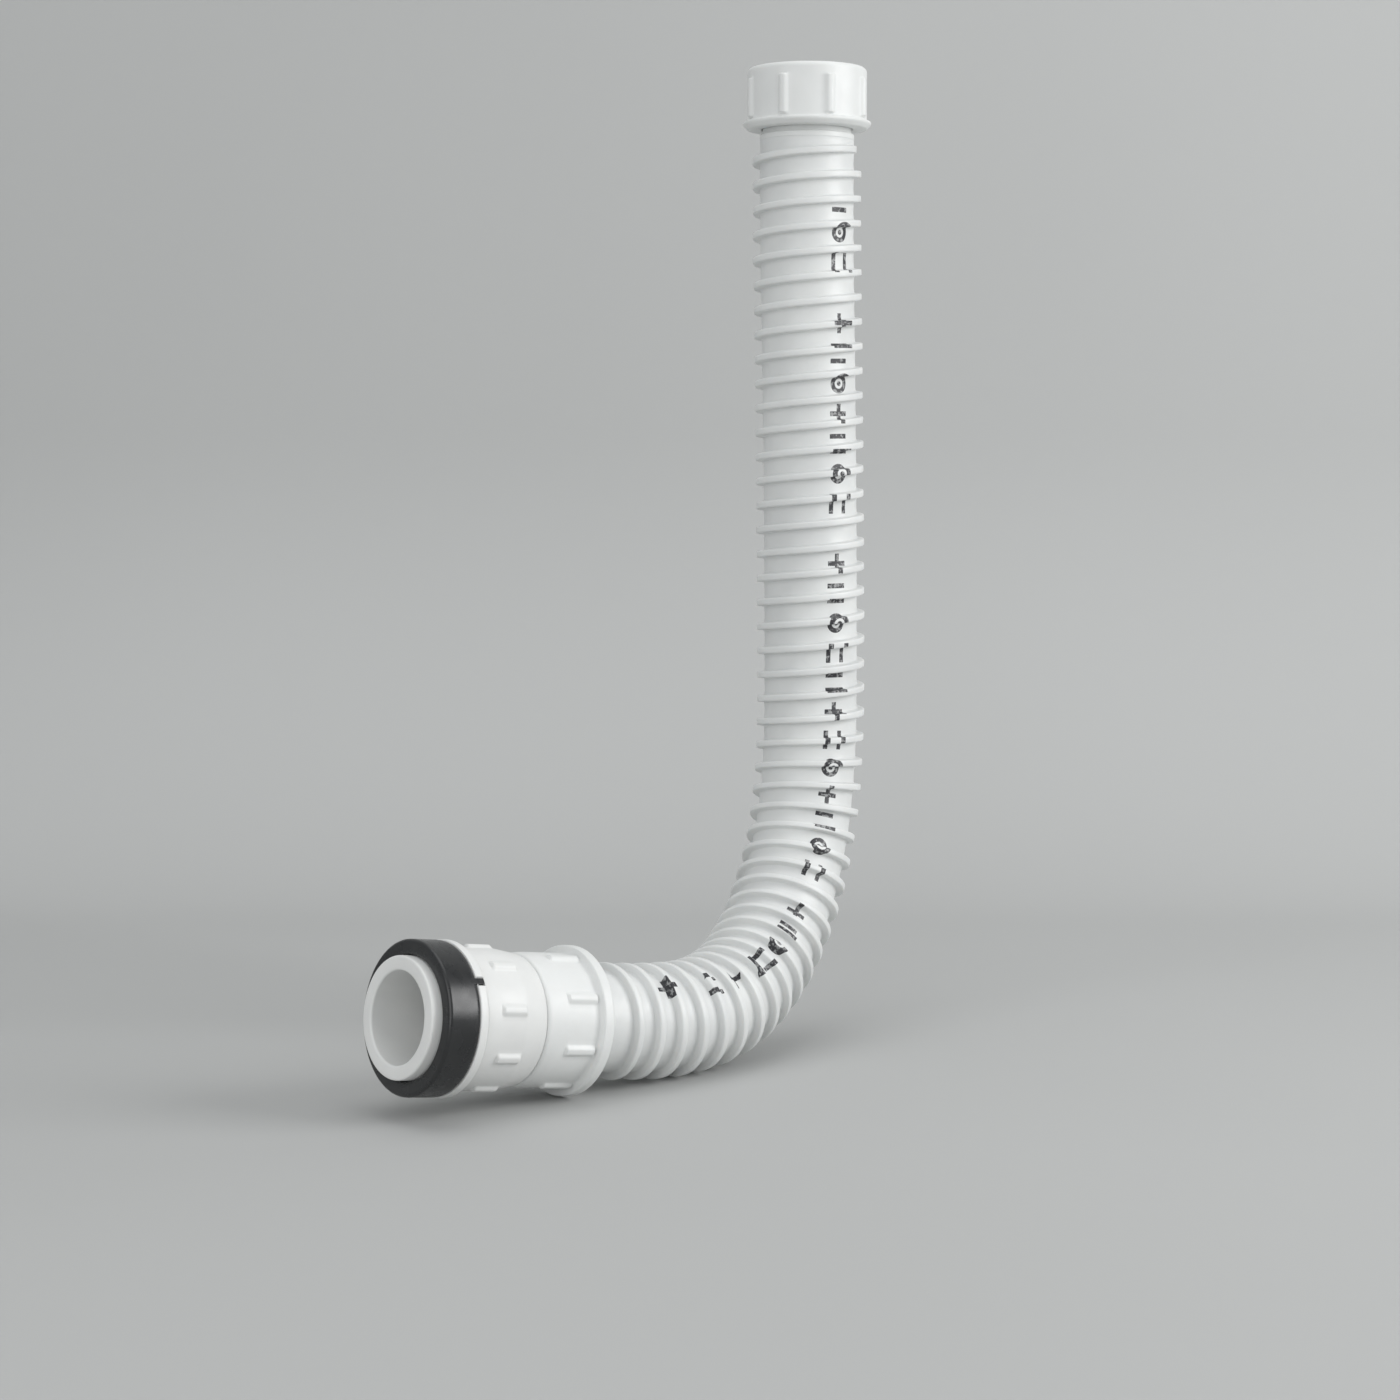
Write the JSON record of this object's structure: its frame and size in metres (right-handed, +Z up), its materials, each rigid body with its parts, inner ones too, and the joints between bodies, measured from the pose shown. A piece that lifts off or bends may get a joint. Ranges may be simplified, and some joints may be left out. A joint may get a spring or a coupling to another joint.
{
  "type": "flexible toilet pan connector",
  "caption": "Flexible ribbed hose bent at its foot, with a threaded union nut on top and, below, a union nut, an adapter and a rubber sealing ring for the pan inlet.",
  "frame": {"origin": "middle of the upper union nut's open mouth, on the nut's axis", "axes": "+Z up out of the upper mouth, along the top of the hose's leg; the lower fitting points to -X, 7.5 degrees above the horizontal"},
  "size_m": [0.2477, 0.0901, 0.3849],
  "materials": {
    "flexible_white": "satin",
    "moulded_white": "satin",
    "black_rubber": "satin",
    "washer_rubber": "matte"
  },
  "bodies": {
    "hose_and_tails": {"hose": "flexible_white", "upper_tail": "moulded_white", "upper_washer": "washer_rubber", "lower_tail": "moulded_white", "lower_washer": "washer_rubber"},
    "upper_nut": {"upper_nut": "moulded_white"},
    "lower_nut": {"lower_nut": "moulded_white"},
    "adapter": {"pan_adapter": "moulded_white", "pan_seal_ring": "black_rubber"}
  },
  "joints": [
    {"name": "upper_nut_spin", "type": "hinge", "parent": "hose_and_tails", "child": "upper_nut", "pos_m": [0, 0, -0.0125], "axis": [0, 0, 1], "continuous": true},
    {"name": "lower_nut_spin", "type": "hinge", "parent": "hose_and_tails", "child": "lower_nut", "pos_m": [-0.15851, -0.03709, -0.35623], "axis": [0.9914, 0, -0.1305], "range_deg": [0, 1440]},
    {"name": "adapter_slide", "type": "slide", "parent": "hose_and_tails", "child": "adapter", "axis": [-0.9914, 0, 0.1305], "range_m": [0, 0.00924]}
  ],
  "couplings": [
    {"joint": "adapter_slide", "follows": "lower_nut_spin", "m_per_rad": 0.00036749}
  ]
}
